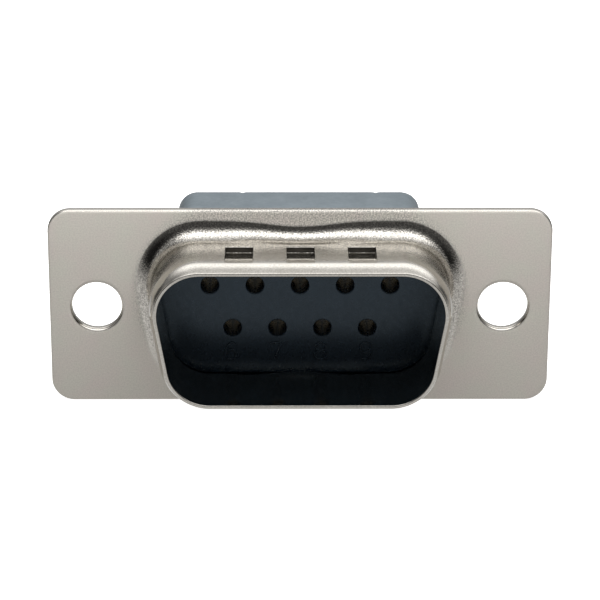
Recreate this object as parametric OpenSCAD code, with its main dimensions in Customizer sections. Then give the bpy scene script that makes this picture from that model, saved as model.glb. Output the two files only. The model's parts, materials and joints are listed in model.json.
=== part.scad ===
// Nine-way D-shaped crimp housing, plug side, empty of contacts.
// Millimetres. X runs along the flange, +Z is up and the mating side faces -Y.
// The origin is the middle of the flange's front face, half way between the screw holes.

/* [Contacts] */
// Contacts in the upper row; the lower row has one fewer
upper_contacts = 5; // [5:1:13]
// Distance between neighbouring contacts of a row
pitch = 2.77; // [2.7:0.01:2.9]
// Distance between the two rows
row_gap = 2.84; // [2.7:0.01:3]
// Bore in the mating face that a pin comes out of
pin_bore_d = 1.08; // [1.02:0.01:1.3]
// Width of the lead-in round each bore's mouth
lead_in = 0.08; // [0.05:0.01:0.12]
// Bore that a crimped wire goes in at, from behind
wire_bore_d = 2; // [1.8:0.05:2.1]

/* [Mating shell] */
// Height of the D inside
mate_h = 8.36; // [8:0.02:8.8]
// From the outermost contact's centre to the inside of the D
mate_side = 3.07; // [2.9:0.01:3.3]
// Radius of the D's corners inside
mate_corner_r = 2.58; // [2.2:0.02:2.9]
// Slant of the D's two sides, in degrees
mate_slant = 10; // [8:0.5:12]
// How far the D stands out in front of the flange
mate_depth = 5.6; // [5:0.05:6.5]
// Thickness of the drawn wall at its root
wall = 0.45; // [0.4:0.01:0.55]
// Thickness of the wall at the lip, where drawing has thinned it
lip_wall = 0.22; // [0.2:0.01:0.35]
// Rounding of the D's front edge, outside and in
lip_r = 0.06; // [0.05:0.01:0.09]

/* [Drawn root] */
// Radius between flange and wall in the middle of a side
root_r = 0.96; // [0.8:0.02:1.2]
// Radius between flange and wall at the corners
root_corner_r = 1.32; // [1:0.02:1.4]
// How far the wall leans out at the root beside the corners
root_lean = 0.15; // [0.05:0.01:0.2]
// How far the wall sags in at the root in the middle of a long side
root_sag = 0.06; // [0.02:0.01:0.08]
// Length of wall over which the lean dies away
lean_length = 0.5; // [0.4:0.05:0.6]

/* [Spring indents] */
// Indents in the top wall
indents = 3; // [1:1:4]
// Distance between neighbouring indents
indent_pitch = 3.7; // [2.6:0.02:3.9]
// Width of an indent
indent_w = 1.68; // [1.4:0.02:2]
// Length of an indent's ramp
indent_l = 2.4; // [1.8:0.1:2.6]
// From the flange to an indent's sheared end
indent_back = 1.84; // [1.7:0.02:2.2]
// How far the sheared end is pushed in
indent_depth = 0.38; // [0.2:0.02:0.38]

/* [Front flange] */
// Height of the flange
flange_h = 12.6; // [12.2:0.05:13]
// Thickness of the flange
flange_t = 0.5; // [0.4:0.02:0.6]
// Radius of the flange's corners
flange_corner_r = 1.4; // [0.8:0.1:2]
// From the outermost contact's centre to a screw hole's axis
hole_side = 6.955; // [6.8:0.005:7.2]
// From a screw hole's axis to the end of the flange
hole_to_end = 2.91; // [2.7:0.01:3.2]

/* [Screw holes] */
// Diameter of the screw holes
hole_d = 3.05; // [2.8:0.05:3.2]
// Rounding where a screw goes in
hole_entry_r = 0.26; // [0.1:0.02:0.3]
// Wall of the collar drawn back from the flange at each hole
collar_wall = 0.46; // [0.4:0.01:0.55]
// Radius of the collar's flare, which stakes the two shells together
flare_r = 0.85; // [0.85:0.05:1.2]
// Length of the straight throat between rounding and flare
throat = 0.14; // [0.12:0.02:0.3]
// Width and thickness of the staked lip behind the rear shell
stake_w = 0.5; // [0.3:0.05:0.6]
stake_t = 0.25; // [0.2:0.05:0.3]

/* [Rear shell] */
// Thickness of the rear shell
rear_t = 0.5; // [0.4:0.02:0.6]
// How far the rear shell's edge keeps inside the front flange's
rear_inset = 0.35; // [0.3:0.05:0.6]
// Wall of the drawn pan
pan_wall = 0.45; // [0.4:0.01:0.5]
// Rounding of the pan's edges
pan_r = 0.35; // [0.2:0.05:0.4]

/* [Insulators] */
// How far the front insulator's nose stands out past the D's inside, into the root
nose_out = 0.25; // [0.15:0.01:0.27]
// How far both insulators' flanges stand out past the D's inside
land_out = 0.7; // [0.6:0.02:0.75]
// From the flange's front face to the front of the insulator's own flange
land_seat = 0.36; // [0.36:0.01:0.42]
// Thickness of the front insulator, which is the length of the pin bores
front_t = 1.7; // [1.5:0.05:2]
// Thickness of the rear insulator's flange
rear_land_t = 0.7; // [0.5:0.05:0.9]
// How far the rear insulator reaches behind the flange's front face
rear_reach = 9.1; // [8:0.1:11]
// Height of the rear insulator's body
rear_body_h = 8.5; // [7.6:0.1:8.8]
// From the outermost contact's centre to the body's side
rear_body_side = 2.15; // [1.7:0.01:2.3]
// Radius of the body's corners
rear_corner_r = 1.25; // [0.8:0.05:1.6]

/* [Retention clips] */
// Bore that holds a clip
clip_bore_d = 2.3; // [2.2:0.02:2.4]
// Length of the front insulator's spigots, which lengthen the pin bores and hold the clips back
spigot_l = 1.1; // [0.8:0.05:1.3]
// Length of a clip
clip_l = 3; // [2.8:0.1:3.4]
// Thickness of a clip's strip
clip_t = 0.15; // [0.1:0.01:0.2]
// Width of the slit along a clip
clip_slit = 0.4; // [0.2:0.05:0.6]
// Gap that a clip's tines leave for a contact
clip_gap_d = 1.25; // [1.1:0.05:1.4]

/* [Fits] */
// Radial play of a clip in its bore
clip_play = 0.04; // [0.02:0.01:0.06]
// Play along a clip's length
clip_end_play = 0.1; // [0.05:0.05:0.2]
// Radial play of the collars in the rear shell
collar_play = 0.03; // [0.02:0.01:0.06]
// Play round the insulators inside the rear shell
pan_play = 0.06; // [0.04:0.01:0.1]

/* [Hidden] */
$fn = 48;
CONTACTS = 2 * upper_contacts - 1;

past = 1; // how far a cutter runs past what it cuts
row_half = (upper_contacts - 1) * pitch / 2;
mate_half_w = row_half + mate_side;
hole_x = row_half + hole_side;
flange_w = 2 * (hole_x + hole_to_end);
top_in = mate_h / 2;
top_out = top_in + wall;
rear_plane = flange_t + rear_t; // back of the two flanges
land_end = front_t + rear_land_t; // floor of the pan
spigot_end = front_t + spigot_l;
clip_end = spigot_end + clip_l + clip_end_play; // step in the contact cavity

// ---------- outlines ----------

function direction(a) = [cos(a), sin(a)];

// Points along an arc, each as [point, outward normal, how near a corner]
function arc(c, r, a0, a1, steps) =
    [for (i = [0:steps]) let (n = direction(a0 + (a1 - a0) * i / steps)) [c + r * n, n, 1]];

// How near a corner a point of a long side is: 0 in the middle, 1 at its ends
function nearness(t) = pow(sin(90 * abs(2 * t - 1)), 2);

// Points between two arcs, on the straight that joins them
function run(p, q, steps) = [
    for (i = [1:steps - 1]) let (t = i / steps)
        [p[0] + (q[0] - p[0]) * t, p[1], nearness(t)]
];

function last(v) = v[len(v) - 1];

corner_steps = 8;
long_steps = 8;

// The D: half-width at its widest, height, corner radius and slant of the sides
function d_path(half_w, h, r, slant) =
    let (
        up = [half_w - r, h / 2 - r],
        low = [up[0] - (h - 2 * r) * tan(slant), -up[1]],
        ne = arc(up, r, -slant, 90, corner_steps),
        nw = arc([-up[0], up[1]], r, 90, 180 + slant, corner_steps),
        sw = arc([-low[0], low[1]], r, 180 + slant, 270, corner_steps),
        se = arc(low, r, 270, 360 - slant, corner_steps)
    )
    concat(ne, run(last(ne), nw[0], long_steps), nw, sw, run(last(sw), se[0], long_steps), se);

mate_path = d_path(mate_half_w, mate_h, mate_corner_r, mate_slant);
body_path = d_path(row_half + rear_body_side, rear_body_h, rear_corner_r, mate_slant);

// The outline of a path, moved out by a distance
function outline(path, out) = [for (p = path) p[0] + p[1] * out];

module rounded_plate(w, h, r) {
    square([w - 2 * r, h], center = true);
    square([w, h - 2 * r], center = true);
    for (x = [-1, 1], z = [-1, 1]) translate([x * (w / 2 - r), z * (h / 2 - r)]) circle(r);
}

// A flat outline made solid from depth y0 to depth y1
module slab(y0, y1) {
    translate([0, y1, 0]) rotate([90, 0, 0]) linear_extrude(height = y1 - y0) children();
}

// A round bar along Y
module bar(d, y0, y1) {
    translate([0, y0, 0]) rotate([-90, 0, 0]) cylinder(d = d, h = y1 - y0);
}

// ---------- drawn surfaces ----------

// A section is a list of [depth y, distance out], one for each ring; near is 0 mid-side and 1 at a corner
function root_radius(near) = root_r + (root_corner_r - root_r) * near;
function lean(near) = (root_lean + root_sag) * near - root_sag;

root_steps = 6;
lip_steps = 3;
lean_steps = 3;

// Angle at which the root's arc has the lean's own slope, so that the two meet without a crease
function root_end(near) = atan2(lean_length, 2 * lean(near));

// How far out the root's ring lies in the flange's plane
function root_out(near) = wall + lean(near) + root_radius(near) * sin(root_end(near));

// Points down the root's arc; the inside's arc is larger by the sheet and by the wall
function root_section(near, wall_out, sheet) =
    let (r = root_radius(near))
    [for (i = [0:root_steps]) let (a = root_end(near) * i / root_steps)
        [-r + (r + sheet) * cos(a), root_out(near) - (r + wall_out) * sin(a)]];

// Points along the lean, which dies away as the square of what is left of its length
function lean_section(near, wall_out, sheet, surface) =
    let (foot = last(root_section(near, wall_out, sheet)))
    [for (i = [1:lean_steps]) let (t = i / lean_steps)
        [foot[0] - lean_length * t, surface + (foot[1] - surface) * pow(1 - t, 2)]];

// The wall runs straight from the end of the lean to the lip's rounding
function lip_section(wall_out, sign) = [
    for (i = [0:lip_steps]) let (a = 90 * i / lip_steps)
        [-mate_depth + lip_r * (1 - sin(a)), wall_out + sign * lip_r * (cos(a) - 1)]
];

// Outside of the D, from inside the flange's thickness to the front edge
function outside_section(near) = concat(
    [[flange_t / 2, root_out(near)]],
    root_section(near, 0, 0),
    lean_section(near, 0, 0, wall),
    lip_section(lip_wall, 1)
);

// Inside of the D, from behind the flange to past the front edge
function inside_section(near) = concat(
    [[flange_t + past, root_out(near)]],
    root_section(near, wall, flange_t),
    lean_section(near, wall, flange_t, 0),
    lip_section(0, -1),
    [[-mate_depth - past, lip_r]]
);

// A solid whose rings follow the mating D from back to front, with one section for each point of the D.
// Each end is closed by a fan of triangles round a middle point.
module drawn(sections) {
    n = len(mate_path);
    rings = len(sections[0]);
    ring_points = [for (k = [0:rings - 1], i = [0:n - 1])
        let (p = mate_path[i], s = sections[i][k], q = p[0] + p[1] * s[1]) [q[0], s[0], q[1]]];
    middles = [[0, sections[0][0][0], 0], [0, sections[0][rings - 1][0], 0]];
    sides = [for (k = [0:rings - 2], i = [0:n - 1])
        let (j = (i + 1) % n) [k * n + i, (k + 1) * n + i, (k + 1) * n + j, k * n + j]];
    back = [for (i = [0:n - 1]) [i, (i + 1) % n, rings * n]];
    front = [for (i = [0:n - 1]) [(rings - 1) * n + (i + 1) % n, (rings - 1) * n + i, rings * n + 1]];
    polyhedron(points = concat(ring_points, middles), faces = concat(sides, back, front), convexity = 6);
}

// ---------- pieces ----------

module at_screw_holes() {
    for (side = [-1, 1]) translate([side * hole_x, 0, 0]) children();
}

hole_r = hole_d / 2;
collar_r = hole_r + collar_wall;
stake_end = rear_plane + stake_t;
flare_start = hole_entry_r + throat;

// Room for the screw: rounded entry, straight throat and flare, as one turned shape
module screw_passage() {
    rotate([-90, 0, 0]) rotate_extrude() {
        translate([0, -past]) square([hole_r, stake_end + 2 * past]);
        difference() {
            translate([0, -past]) square([hole_r + hole_entry_r, past + hole_entry_r]);
            translate([hole_r + hole_entry_r, hole_entry_r]) circle(hole_entry_r);
        }
        difference() {
            translate([0, flare_start]) square([hole_r + flare_r, stake_end + past - flare_start]);
            translate([hole_r + flare_r, flare_start]) circle(flare_r);
        }
    }
}

module collar() {
    bar(2 * collar_r, flange_t / 2, stake_end);
    bar(2 * (collar_r + stake_w), rear_plane, stake_end);
}

ramp_steps = 6;
function ramp(t) = indent_depth * t * t * (3 - 2 * t);

// The ramp of an indent as a profile in Y and Z, from a height up to a lid
function ramp_profile(z, lid) = concat(
    [for (i = [0:ramp_steps]) let (t = i / ramp_steps)
        [-indent_back - indent_l * (1 - t), z - ramp(t)]],
    [[-indent_back, lid], [-indent_back - indent_l, lid]]
);

module at_indents() {
    for (i = [0:indents - 1]) translate([(i - (indents - 1) / 2) * indent_pitch, 0, 0]) children();
}

// A profile in Y and Z made as wide as an indent
module indent_prism(profile) {
    translate([-indent_w / 2, 0, 0])
        rotate([90, 0, 90]) linear_extrude(height = indent_w) polygon(profile);
}

module front_shell() {
    color("#b9b4ab") difference() {
        union() {
            difference() {
                union() {
                    slab(0, flange_t) rounded_plate(flange_w, flange_h, flange_corner_r);
                    drawn([for (p = mate_path) outside_section(p[2])]);
                }
                drawn([for (p = mate_path) inside_section(p[2])]);
            }
            at_indents() indent_prism(ramp_profile(top_in, top_in + wall / 2));
            at_screw_holes() collar();
        }
        at_indents() indent_prism(ramp_profile(top_out, top_out + past));
        at_screw_holes() screw_passage();
    }
}

pan_in = land_out + pan_play;
pan_out = pan_in + pan_wall;
pan_end = land_end + pan_wall;

// Outside of the pan, from its rounded back edge to inside the rear shell's thickness
pan_section = concat(
    [for (i = [0:lip_steps]) let (a = 90 * i / lip_steps)
        [pan_end - pan_r * (1 - cos(a)), pan_out - pan_r * (1 - sin(a))]],
    [[rear_plane - rear_t / 2, pan_out]]
);

module rear_shell() {
    color("#a9a59c") difference() {
        union() {
            slab(flange_t, rear_plane)
                rounded_plate(flange_w - 2 * rear_inset, flange_h - 2 * rear_inset, flange_corner_r);
            drawn([for (p = mate_path) pan_section]);
        }
        slab(flange_t - past, land_end) polygon(outline(mate_path, pan_in));
        slab(land_end - past, pan_end + past) polygon(outline(body_path, pan_play));
        at_screw_holes() bar(2 * (collar_r + collar_play), 0, rear_plane + past);
    }
}

// Places of the contacts, numbered as on the mating face: 1 upper left, one more than the row lower left
function contact_xz(i) = i <= upper_contacts
    ? [(i - 1) * pitch - row_half, row_gap / 2]
    : [(i - upper_contacts - 0.5) * pitch - row_half, -row_gap / 2];

module at_contact(i) {
    p = contact_xz(i);
    translate([p[0], 0, p[1]]) children();
}

module at_contacts() {
    for (i = [1:CONTACTS]) at_contact(i) children();
}

// A cone along Y that widens a bore's mouth
module mouth(d, y, depth) {
    translate([0, y, 0]) rotate([-90, 0, 0])
        cylinder(d1 = d + 2 * lead_in, d2 = d, h = depth);
}

module front_insulator() {
    color("#23262b") difference() {
        union() {
            slab(0, front_t) polygon(outline(mate_path, nose_out));
            slab(land_seat, front_t) polygon(outline(mate_path, land_out));
            at_contacts() bar(clip_bore_d - 2 * clip_play, front_t - lead_in, spigot_end);
        }
        at_contacts() {
            bar(pin_bore_d, -past, spigot_end + past);
            mouth(pin_bore_d, 0, lead_in);
        }
    }
}

module rear_insulator() {
    color("#2b2e33") difference() {
        union() {
            slab(front_t, land_end) polygon(outline(mate_path, land_out));
            slab(front_t, rear_reach) polygon(outline(body_path, 0));
        }
        at_contacts() {
            bar(wire_bore_d, front_t - past, rear_reach + past);
            bar(clip_bore_d, front_t - past, clip_end);
        }
    }
}

clip_r = clip_bore_d / 2 - clip_play;
tine_span = 70; // degrees of the clip's round that one tine takes
tine_from = 0.25; // share of the clip's length where the tines' free ends stand
tine_to = 0.7; // share of the clip's length where the tines join the sleeve

// One sector of the clip's round, as a flat shape in X and Z
module sector(r, from, span) {
    polygon(concat([[0, 0]], [for (a = [from, from + span / 2, from + span]) r / cos(span / 4) * direction(a)]));
}

// A rolled, slit sleeve with two tines that lean in towards the mating side
module retention_clip() {
    y0 = spigot_end + clip_end_play / 2;
    free = y0 + clip_l * tine_from;
    root = y0 + clip_l * tine_to;
    color("#c9a24a") {
        difference() {
            bar(2 * clip_r, y0, y0 + clip_l);
            bar(2 * (clip_r - clip_t), y0 - past, y0 + clip_l + past);
            translate([-clip_slit / 2, y0 - past, 0]) cube([clip_slit, clip_l + 2 * past, clip_r + past]);
            for (side = [0, 180]) slab(free, root) sector(clip_r + past, side - tine_span / 2, tine_span);
        }
        for (side = [0, 180]) intersection() {
            rotate([-90, 0, 0]) rotate_extrude() polygon([
                [clip_gap_d / 2, free], [clip_gap_d / 2 + clip_t, free],
                [clip_r, root], [clip_r, root + clip_t], [clip_r - clip_t, root + clip_t],
                [clip_r - clip_t, root]
            ]);
            slab(free - past, root + past) sector(clip_r + past, side - tine_span / 2, tine_span);
        }
    }
}

front_shell();
rear_shell();
front_insulator();
rear_insulator();
for (i = [1:CONTACTS])
    at_contact(i) retention_clip();
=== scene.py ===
# %% [markdown]
# The subject is an empty nine-way D-shaped plug housing: a drawn, tin-plated mating shell on a flange
# with two screw holes, a dark moulded insulator with two rows of pin bores, and a dark body behind.
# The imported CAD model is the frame. Each metal and plastic piece is then made again as a fine surface,
# because a reflection on bright metal shows every facet that a CAD mesh has.
# %% Load the frame
import json
import math

import bmesh
import bpy
import numpy as np
from mathutils import Matrix, Vector, geometry

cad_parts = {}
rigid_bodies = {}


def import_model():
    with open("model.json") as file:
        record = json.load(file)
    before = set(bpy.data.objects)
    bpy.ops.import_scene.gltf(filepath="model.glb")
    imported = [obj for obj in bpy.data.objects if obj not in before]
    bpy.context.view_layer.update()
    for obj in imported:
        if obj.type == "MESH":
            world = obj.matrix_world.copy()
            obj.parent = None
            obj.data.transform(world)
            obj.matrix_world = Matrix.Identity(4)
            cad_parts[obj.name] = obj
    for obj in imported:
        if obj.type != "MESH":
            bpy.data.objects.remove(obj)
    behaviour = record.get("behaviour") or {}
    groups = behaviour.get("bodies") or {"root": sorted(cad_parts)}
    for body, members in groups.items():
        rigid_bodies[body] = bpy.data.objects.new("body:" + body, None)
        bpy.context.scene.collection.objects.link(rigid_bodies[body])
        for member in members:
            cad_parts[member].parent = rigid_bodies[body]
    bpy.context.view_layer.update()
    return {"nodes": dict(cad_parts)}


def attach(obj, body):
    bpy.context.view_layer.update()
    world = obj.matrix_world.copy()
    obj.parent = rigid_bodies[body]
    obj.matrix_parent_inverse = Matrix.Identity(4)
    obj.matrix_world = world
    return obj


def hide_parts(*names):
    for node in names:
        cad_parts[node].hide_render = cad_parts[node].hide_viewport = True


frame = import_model()

# %% [markdown]
# All sizes below are in millimetres, like the CAD source, and are multiplied by MM where Blender needs
# metres. X runs along the flange, Z is up, and the mating side faces -Y. The strips are the narrow flat
# margins that go round an edge or a bore.
# %% Sizes
MM = 0.001
PITCH, ROW_GAP = 2.77, 2.84
PIN_BORE_R, LEAD_IN = 0.54, 0.08
MATE_HALF_W, MATE_H, MATE_CORNER_R, SLANT = 8.61, 8.36, 2.58, 10.0
MATE_DEPTH, WALL, LIP_WALL, LIP_R = 5.6, 0.45, 0.22, 0.06
ROOT_R, ROOT_CORNER_R, LEAN, SAG, LEAN_LENGTH = 0.96, 1.32, 0.15, 0.06, 0.5
INDENT_X = np.array([-3.7, 0.0, 3.7])
INDENT_W, INDENT_L, INDENT_BACK, INDENT_DEPTH = 1.68, 2.4, 1.84, 0.38
FLANGE_T, FLANGE_H, FLANGE_CORNER_R = 0.5, 12.6, 1.4
HOLE_X, HOLE_R, HOLE_ENTRY_R, THROAT, FLARE_R = 12.495, 1.525, 0.26, 0.14, 0.85
HOLE_TO_END = 2.91
FLANGE_W = 2 * (HOLE_X + HOLE_TO_END)
COLLAR_R, STAKE_R, STAKE_END = 1.985, 2.485, 1.25
REAR_PLANE, REAR_INSET = 1.0, 0.35
LAND_OUT, NOSE_OUT, LAND_SEAT = 0.7, 0.25, 0.36
FRONT_T, LAND_END, PAN_END = 1.7, 2.4, 2.85
PAN_IN, PAN_OUT, PAN_R = 0.76, 1.21, 0.35
BODY_HALF_W, BODY_H, BODY_CORNER_R, BODY_REACH = 7.69, 8.5, 1.25, 9.1
SPIGOT_R, SPIGOT_END = 1.11, 2.8
WIRE_BORE_R, CLIP_BORE_R, CLIP_END = 1.0, 1.15, 5.9
EDGE_STRIP, BORE_STRIP = 0.06, 0.03
upper = [((i - 2) * PITCH, ROW_GAP / 2) for i in range(5)]
lower = [((i - 1.5) * PITCH, -ROW_GAP / 2) for i in range(4)]
CONTACTS = np.array(upper + lower)
print("flange", round(FLANGE_W, 2), "x", FLANGE_H, "mm, contacts:", len(CONTACTS))

# %% [markdown]
# Every piece here is a stack of rings: one outline, moved out or in and set at a depth, ring after ring.
# Quads join each ring to the next. Flat areas with holes are filled with triangles between loops. A narrow
# flat strip goes round each loop first, so that the shading of a rounded edge ends there and the flat area
# stays truly flat in reflections.
# %% Rings and fills


def ring_surface(rings):
    """Quads between neighbouring closed rings. Point (k, i) joins (k, i+1), (k+1, i+1) and (k+1, i). For
    rings that run anticlockwise seen from the front, stacking them from back to front faces them out."""
    k, n = rings.shape[:2]
    index = np.arange(k * n).reshape(k, n)
    after = np.roll(index, -1, axis=1)
    quads = np.stack([index[:-1], after[:-1], after[1:], index[1:]], -1).reshape(-1, 4)
    return rings.reshape(-1, 3), quads


def inside_loop(points, loop):
    """Which points lie inside a loop: a line from the point towards +X crosses the loop an odd number of
    times."""
    x, z = points[:, :1], points[:, 1:]
    ax, az = loop[:, 0], loop[:, 1]
    bx, bz = np.roll(ax, -1), np.roll(az, -1)
    spans = (az > z) != (bz > z)
    rise = np.where(bz == az, 1.0, bz - az)
    return (spans & (x < ax + (z - az) * (bx - ax) / rise)).sum(1) % 2 == 1


def flat_fill(y, loops, facing):
    """Triangles over the plane at depth y, inside the first loop and outside the others. facing is the
    sign of the normal's Y."""
    starts = np.cumsum([0] + [len(loop) for loop in loops[:-1]])
    points = [Vector(p) for loop in loops for p in loop]
    edges = [(s + i, s + (i + 1) % len(loop)) for s, loop in zip(starts, loops) for i in range(len(loop))]
    found, _, faces, _, _, _ = geometry.delaunay_2d_cdt(points, edges, [], 1, 1e-6)
    flat = np.array([(p.x, p.y) for p in found])
    tris = np.array(faces)
    middles = flat[tris].mean(1)
    tris = tris[inside_loop(middles, loops[0]) & ~np.any([inside_loop(middles, h) for h in loops[1:]], 0)]
    a, b, c = (flat[tris[:, k]] for k in range(3))
    area = (b - a)[:, 0] * (c - a)[:, 1] - (b - a)[:, 1] * (c - a)[:, 0]
    tris[area * facing > 0] = tris[area * facing > 0][:, ::-1]
    return np.column_stack([flat[:, 0], np.full(len(flat), y), flat[:, 1]]), tris


print("quads between 3 rings of 8 points:", len(ring_surface(np.zeros((3, 8, 3)))[1]))

# %% [markdown]
# A finished piece is one mesh. Its parts have points in the same places where they meet, so those points
# are merged, and an edge where two faces meet steeply is shaded as a crease. A modifier could weld the
# parts later, but merging them here lets the script count what it made. A piece rides on the frame's body
# and takes the place of its CAD node.
# %% Meshes
CREASE, SAME_PLACE = 35, 0.0008


def make_piece(name, parts, material, node=None, sharp=CREASE):
    """One object from parts of (points in mm, faces), with the points where parts meet merged. An edge
    between faces that meet at more than the sharp angle is shaded as a crease. The odd edges that it
    prints are those without exactly two faces."""
    offsets = np.cumsum([0] + [len(p) for p, _ in parts[:-1]])
    points = np.vstack([p for p, _ in parts]) * MM
    faces = [f for (_, fs), o in zip(parts, offsets) for f in (np.asarray(fs) + o).tolist()]
    mesh = bpy.data.meshes.new(name)
    mesh.from_pydata(points.tolist(), [], faces)
    work = bmesh.new()
    work.from_mesh(mesh)
    bmesh.ops.remove_doubles(work, verts=work.verts, dist=SAME_PLACE * MM)
    odd_edges = sum(len(e.link_faces) != 2 for e in work.edges)
    work.to_mesh(mesh)
    work.free()
    mesh.shade_smooth()
    mesh.set_sharp_from_angle(angle=math.radians(sharp))
    mesh.materials.append(material)
    piece = bpy.data.objects.new(name, mesh)
    bpy.context.scene.collection.objects.link(piece)
    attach(piece, "root")
    if node:
        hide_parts(node)
    print(f"{name}: {len(mesh.vertices)} points, {len(mesh.polygons)} faces, {odd_edges} odd edges")
    return piece


print("points merge within", SAME_PLACE, "mm, edges crease past", CREASE, "degrees")

# %% [markdown]
# Two outlines carry everything: the D, which is four arcs joined by straights whose two sides slant, and
# the flange's rounded rectangle. Both are kept as points with outward normals, so moving an outline out by
# a distance is one sum. The D also says how near each point is to a corner, because a deep-drawn wall
# bulges there.
# %% Outlines


def corner(centre, r, start, end, steps):
    """An arc from one angle to another in degrees, both ends included, as points and outward normals."""
    a = np.radians(np.linspace(start, end, steps + 1))
    normals = np.column_stack([np.cos(a), np.sin(a)])
    return np.array(centre) + r * normals, normals


def d_outline(half_w, height, r, top_x, steps=36, long_steps=96, side_steps=16):
    """The D anticlockwise from its right side, as points, normals and nearness to a corner. top_x gives
    the places of the top's points from left to right. Nearness along a top or bottom is the square of the
    sine of how far the point is from the middle, with the end of the straight as a quarter turn."""
    cx, cz = half_w - r, height / 2 - r
    low = cx - 2 * cz * math.tan(math.radians(SLANT))
    ne = corner((cx, cz), r, -SLANT, 90, steps)
    nw = corner((-cx, cz), r, 90, 180 + SLANT, steps)
    sw = corner((-low, -cz), r, 180 + SLANT, 270, steps)
    se = corner((low, -cz), r, 270, 360 - SLANT, steps)
    inside = top_x[np.abs(top_x) < cx - 0.02][::-1]
    top = np.column_stack([inside, np.full(len(inside), height / 2)])
    base_x = np.linspace(-low, low, long_steps + 1)[1:-1]
    base = np.column_stack([base_x, np.full(len(base_x), -height / 2)])
    t = np.linspace(0, 1, side_steps + 1)[1:-1, None]

    def side(p, q):
        return p[0][-1] * (1 - t) + q[0][0] * t, np.repeat(p[1][-1:], len(t), 0)

    up, down = np.array([[0.0, 1.0]]), np.array([[0.0, -1.0]])
    runs = [
        ne, (top, np.repeat(up, len(top), 0)), nw, side(nw, sw), sw,
        (base, np.repeat(down, len(base), 0)), se, side(se, ne),
    ]
    near = [np.ones(len(p)) for p, _ in runs]
    near[1] = np.sin(np.pi / 2 * np.abs(inside) / cx) ** 2
    near[5] = np.sin(np.pi / 2 * np.abs(base_x) / low) ** 2
    return np.vstack([p for p, _ in runs]), np.vstack([n for _, n in runs]), np.concatenate(near)


def plate_outline(w, h, r, steps=24):
    """A rounded rectangle anticlockwise, as points and outward normals, with points along its straights."""
    cx, cz = w / 2 - r, h / 2 - r
    corners = [
        corner((sx * cx, sz * cz), r, a, a + 90, steps)
        for sx, sz, a in ((1, 1, 0), (-1, 1, 90), (-1, -1, 180), (1, -1, 270))
    ]
    points, normals = [], []
    for (p, n), (q, _) in zip(corners, corners[1:] + corners[:1]):
        t = np.linspace(0, 1, 25)[1:-1, None]
        points += [p, p[-1] * (1 - t) + q[0] * t]
        normals += [n, np.repeat(n[-1:], len(t), 0)]
    return np.vstack(points), np.vstack(normals)


body = d_outline(BODY_HALF_W, BODY_H, BODY_CORNER_R, np.linspace(-7, 7, 141))
flange = plate_outline(FLANGE_W, FLANGE_H, FLANGE_CORNER_R)
print("points round the body:", len(body[0]), "and round the flange:", len(flange[0]))

# %% [markdown]
# The other half of each piece is its section: rows of a depth and a distance out, which is what a cut
# through the edge of the real piece would show. A section is carried round an outline, or turned about a
# point for a hole. A bevel modifier could round the edges, but a section also gives the sheet's small
# burrs and seats their own sizes.
# %% Sections


def rings_of(points, normals, section):
    """Rings of an outline for a section of rows (depth, distance out). Either may vary along the outline."""
    depth, out = (np.array([row[k] * np.ones(len(points)) for row in section]) for k in range(2))
    flat = points[None] + normals[None] * out[..., None]
    return np.stack([flat[..., 0], depth, flat[..., 1]], -1)


def tube(centre, section, steps=72):
    """Rings round a point for a section of rows (depth, radius)."""
    a = np.linspace(0, 2 * np.pi, steps, endpoint=False)
    r = np.array([row[1] for row in section])[:, None]
    y = np.array([row[0] for row in section])[:, None] * np.ones(steps)
    return np.stack([centre[0] + r * np.cos(a), y, centre[1] + r * np.sin(a)], -1)


def quarter(y, out, r, start, end, steps):
    """Rows of a round edge: depth y + r sin a and distance out + r cos a, from one angle to another."""
    a = np.radians(np.linspace(start, end, steps + 1))
    return list(zip(y + r * np.sin(a), out + r * np.cos(a)))


print("rows of a quarter round in 4 steps:", len(quarter(0, 0, 1, 0, 90, 4)))

# %% [markdown]
# The mating D needs its points closest where the three indents' sides cut its top wall, because a sheared
# side rises within a few hundredths of a millimetre. Elsewhere the top's points are evenly spaced, so no
# subdivision is spent where the wall is plain.
# %% The mating outline
side_marks = np.array([-0.09, -0.06, -0.035, -0.015, 0.0, 0.012, 0.03, 0.06])
inward = np.concatenate([side_marks + (x - INDENT_W / 2) for x in INDENT_X])
outward = np.concatenate([-side_marks + (x + INDENT_W / 2) for x in INDENT_X])
top_x = np.unique(np.round(np.concatenate([np.linspace(-6, 6, 97), inward, outward]), 4))
far_enough = np.concatenate([[True], np.diff(top_x) > 0.006])
top_x = top_x[far_enough]
mate = d_outline(MATE_HALF_W, MATE_H, MATE_CORNER_R, top_x)
print("points round the D:", len(mate[0]), "of which in its top:", len(top_x))

# %% [markdown]
# The front shell is one sheet of steel drawn through a flange. Its outside and inside are each a section
# carried round the D: a root arc, a leaning stretch that dies away, the straight wall and a rounded lip.
# The root arc ends where its slope is the lean's own slope, so the two meet without a crease. Both its
# radius and the lean grow towards the D's corners, which gives the swell that drawn sheet has there.
# %% The drawn section


def swell(near):
    """Root radius, lean and the arc's end angle for each point. The lean is negative where the wall sags in
    the middle of a long side. The arc turns until its slope, which is the cotangent of the angle, equals
    the lean's slope of twice the lean over its length."""
    radius = ROOT_R + (ROOT_CORNER_R - ROOT_R) * near
    lean = (LEAN + SAG) * near - SAG
    return radius, lean, np.arctan2(1.0, 2 * lean / LEAN_LENGTH)


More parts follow.
